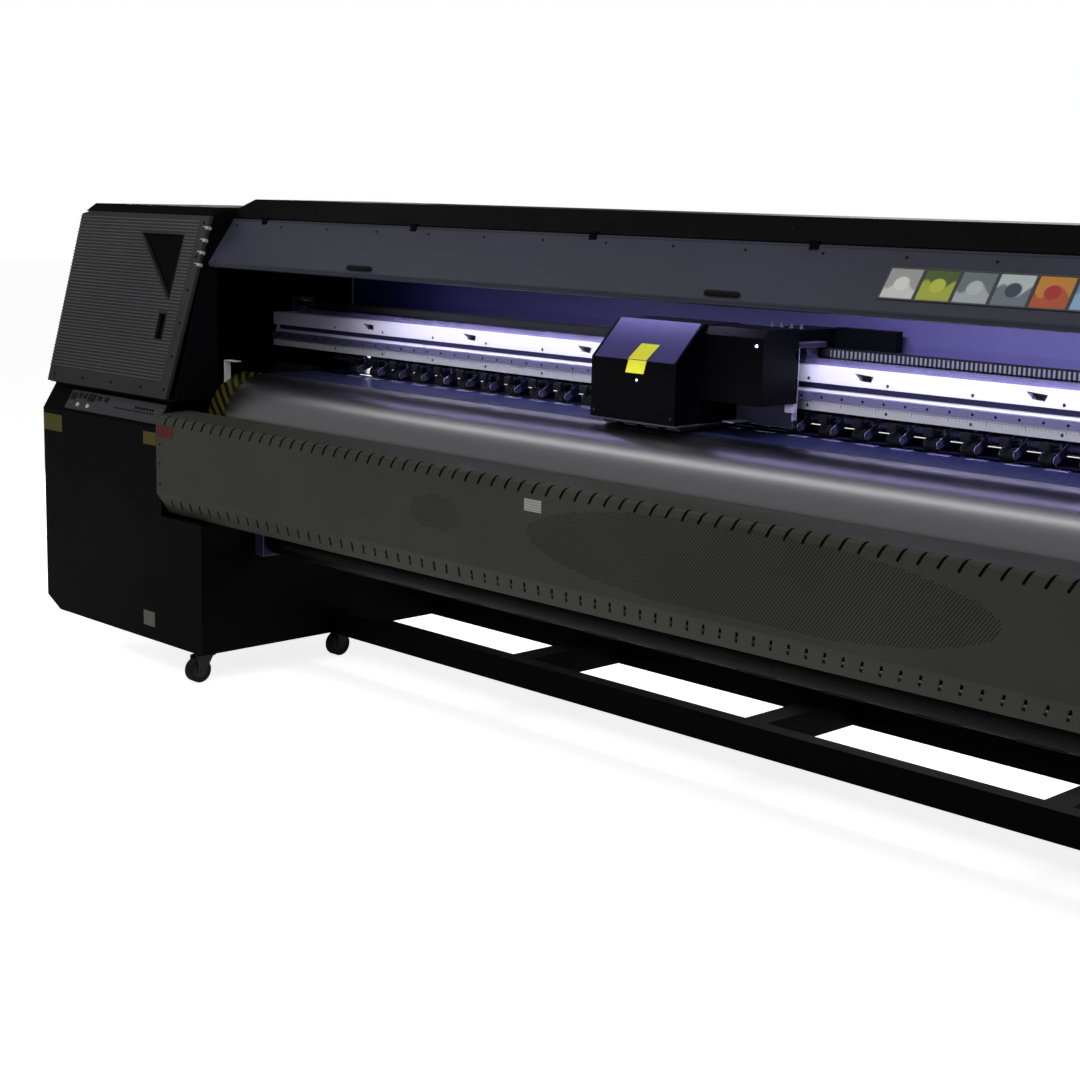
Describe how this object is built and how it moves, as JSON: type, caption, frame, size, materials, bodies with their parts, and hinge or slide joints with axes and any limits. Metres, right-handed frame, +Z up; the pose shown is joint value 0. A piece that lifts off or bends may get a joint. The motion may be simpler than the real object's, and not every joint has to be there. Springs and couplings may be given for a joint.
{
  "type": "wide format roll to roll inkjet printer",
  "caption": "Wide-format roll-to-roll inkjet printer with leg cabinets, gantry beam, sliding carriage, media guides and front dryer.",
  "frame": {"origin": "on the floor, under the centre of the machine's footprint", "axes": "+X along the machine to the operator's right, -Y towards the operator, +Z up"},
  "size_m": [5.2, 1.0135, 1.455],
  "materials": {
    "cabinet_black": "satin powder coat",
    "head_black": "satin powder coat",
    "ribbed_grey": "fine horizontal ribs",
    "window_black": "gloss",
    "cover_black": "satin powder coat",
    "fascia_grey": "satin powder coat",
    "inner_wall": "satin, lit violet from above",
    "tile_print": "gloss printed tile",
    "led_violet": "diffuser",
    "beam_silver": "clear anodised",
    "rail_steel": "ground",
    "encoder_film": "clear film with graduations",
    "belt_rubber": "matt",
    "pulley_aluminium": "machined",
    "bracket_zinc": "bright zinc",
    "tray_steel": "satin",
    "chain_nylon": "moulded",
    "platen_blue": "anodised",
    "guide_silver": "fine brushed",
    "caution_stripe": "black and yellow stripes",
    "frame_steel": "powder coat",
    "roller_steel": "knurled",
    "pinch_rubber": "ground",
    "dryer_olive": "satin powder coat",
    "heater_steel": "heat tinted",
    "shaft_aluminium": "anodised",
    "carriage_black": "semi gloss",
    "visor_gloss": "high gloss",
    "plate_aluminium": "machined",
    "head_module": "moulded",
    "motor_black": "cast body",
    "tank_plastic": "translucent",
    "strip_silver": "brushed",
    "button_white": "gloss",
    "sticker": "blank vinyl",
    "foot_steel": "zinc",
    "caster_steel": "zinc",
    "caster_rubber": "matt"
  },
  "bodies": {
    "machine": {"back_cover": "inner_wall", "cable_chain": "chain_nylon", "capping_station": "head_module", "caution_plates": "sticker", "chain_tray": "tray_steel", "control_strip": "strip_silver", "drive_belt": "belt_rubber", "dryer_cover": "dryer_olive", "dryer_heaters": "heater_steel", "encoder_strip": "encoder_film", "frame_cross_members": "frame_steel", "frame_front_beam": "frame_steel", "frame_rear_beam": "frame_steel", "front_guide": "guide_silver", "gantry_beam": "beam_silver", "guide_end_caps": "caution_stripe", "head_windows": "window_black", "ink_tanks": "tank_plastic", "led_strip": "led_violet", "left_head_shell": "head_black", "left_leg_cabinet": "cabinet_black", "levelling_feet": "foot_steel", "linear_rails": "rail_steel", "motors": "motor_black", "platen": "platen_blue", "platen_tabs": "bracket_zinc", "pulley_brackets": "bracket_zinc", "rear_guide": "platen_blue", "rear_skirt": "frame_steel", "ribbed_panels": "ribbed_grey", "right_head_shell": "head_black", "right_leg_cabinet": "cabinet_black", "shaft_bearings": "bracket_zinc", "side_frames": "frame_steel", "top_cover": "cover_black"},
    "carriage": {"carriage_body": "carriage_black", "carriage_visor": "visor_gloss", "carriage_plate": "plate_aluminium", "print_heads": "head_module", "rail_blocks": "rail_steel"},
    "hood": {"front_hood": "fascia_grey", "hood_tiles": "tile_print"},
    "feed_roller": {"feed_roller": "roller_steel"},
    "pinch_arms": {"pinch_arms": "bracket_zinc"},
    "pinch_rollers": {"pinch_rollers": "pinch_rubber"},
    "pinch_lever": {"pinch_lever": "bracket_zinc"},
    "take_up_shaft": {"take_up_shaft": "shaft_aluminium"},
    "unwind_shaft": {"unwind_shaft": "shaft_aluminium"},
    "drive_pulley": {"drive_pulley": "pulley_aluminium"},
    "idler_pulley": {"idler_pulley": "pulley_aluminium"},
    "start_button": {"start_button": "button_white"},
    "stop_button": {"stop_button": "button_white"},
    "caster_fork_1": {"caster_fork_1": "caster_steel"},
    "caster_wheel_1": {"caster_wheel_1": "caster_rubber"},
    "caster_fork_2": {"caster_fork_2": "caster_steel"},
    "caster_wheel_2": {"caster_wheel_2": "caster_rubber"},
    "caster_fork_3": {"caster_fork_3": "caster_steel"},
    "caster_wheel_3": {"caster_wheel_3": "caster_rubber"},
    "caster_fork_4": {"caster_fork_4": "caster_steel"},
    "caster_wheel_4": {"caster_wheel_4": "caster_rubber"}
  },
  "joints": [
    {"name": "carriage_slide", "type": "slide", "parent": "machine", "child": "carriage", "axis": [1, 0, 0], "range_m": [-1.65, 2.25]},
    {"name": "drive_pulley_spin", "type": "hinge", "parent": "machine", "child": "drive_pulley", "pos_m": [2.43, 0.13, 1.124], "axis": [0, 0, 1], "continuous": true},
    {"name": "idler_pulley_spin", "type": "hinge", "parent": "machine", "child": "idler_pulley", "pos_m": [-1.99, 0.13, 1.124], "axis": [0, 0, 1], "continuous": true},
    {"name": "feed_roller_spin", "type": "hinge", "parent": "machine", "child": "feed_roller", "pos_m": [0, 0.023, 0.9], "axis": [1, 0, 0], "continuous": true},
    {"name": "pinch_arm_lift", "type": "hinge", "parent": "machine", "child": "pinch_arms", "pos_m": [0, 0.075, 0.968], "axis": [-1, 0, 0], "range_deg": [0, 12]},
    {"name": "pinch_lever_turn", "type": "hinge", "parent": "machine", "child": "pinch_lever", "pos_m": [1.87, -0.36, 0.96], "axis": [1, 0, 0], "range_deg": [0, 60]},
    {"name": "pinch_roller_spin", "type": "hinge", "parent": "pinch_arms", "child": "pinch_rollers", "pos_m": [0, 0.023, 0.9453], "axis": [1, 0, 0], "continuous": true},
    {"name": "take_up_spin", "type": "hinge", "parent": "machine", "child": "take_up_shaft", "pos_m": [0, -0.25, 0.43], "axis": [1, 0, 0], "continuous": true},
    {"name": "unwind_spin", "type": "hinge", "parent": "machine", "child": "unwind_shaft", "pos_m": [0, 0.33, 0.48], "axis": [1, 0, 0], "continuous": true},
    {"name": "hood_lift", "type": "hinge", "parent": "machine", "child": "hood", "pos_m": [0, -0.244, 1.3915], "axis": [-1, 0, 0], "range_deg": [0, 85]},
    {"name": "start_button_press", "type": "slide", "parent": "machine", "child": "start_button", "axis": [0, 0.8486, -0.529], "range_m": [0, 0.0025], "stiffness_N_per_m": 400, "springref_m": -0.0005},
    {"name": "stop_button_press", "type": "slide", "parent": "machine", "child": "stop_button", "axis": [0, 0.8486, -0.529], "range_m": [0, 0.0025], "stiffness_N_per_m": 400, "springref_m": -0.0005},
    {"name": "caster_swivel_1", "type": "hinge", "parent": "machine", "child": "caster_fork_1", "pos_m": [-1.745, -0.44, 0.09], "axis": [0, 0, 1], "continuous": true},
    {"name": "caster_roll_1", "type": "hinge", "parent": "caster_fork_1", "child": "caster_wheel_1", "pos_m": [-1.745, -0.47, 0.0405], "axis": [1, 0, 0], "continuous": true},
    {"name": "caster_swivel_2", "type": "hinge", "parent": "machine", "child": "caster_fork_2", "pos_m": [1.745, -0.44, 0.09], "axis": [0, 0, 1], "continuous": true},
    {"name": "caster_roll_2", "type": "hinge", "parent": "caster_fork_2", "child": "caster_wheel_2", "pos_m": [1.745, -0.47, 0.0405], "axis": [1, 0, 0], "continuous": true},
    {"name": "caster_swivel_3", "type": "hinge", "parent": "machine", "child": "caster_fork_3", "pos_m": [-1.745, 0.1, 0.09], "axis": [0, 0, 1], "continuous": true},
    {"name": "caster_roll_3", "type": "hinge", "parent": "caster_fork_3", "child": "caster_wheel_3", "pos_m": [-1.745, 0.07, 0.0405], "axis": [1, 0, 0], "continuous": true},
    {"name": "caster_swivel_4", "type": "hinge", "parent": "machine", "child": "caster_fork_4", "pos_m": [1.745, 0.1, 0.09], "axis": [0, 0, 1], "continuous": true},
    {"name": "caster_roll_4", "type": "hinge", "parent": "caster_fork_4", "child": "caster_wheel_4", "pos_m": [1.745, 0.07, 0.0405], "axis": [1, 0, 0], "continuous": true}
  ],
  "couplings": [
    {"joint": "drive_pulley_spin", "follows": "carriage_slide", "rad_per_m": -40},
    {"joint": "idler_pulley_spin", "follows": "carriage_slide", "rad_per_m": -40},
    {"joint": "pinch_lever_turn", "follows": "pinch_arm_lift", "ratio": 5},
    {"joint": "pinch_roller_spin", "follows": "feed_roller_spin", "ratio": -2}
  ]
}
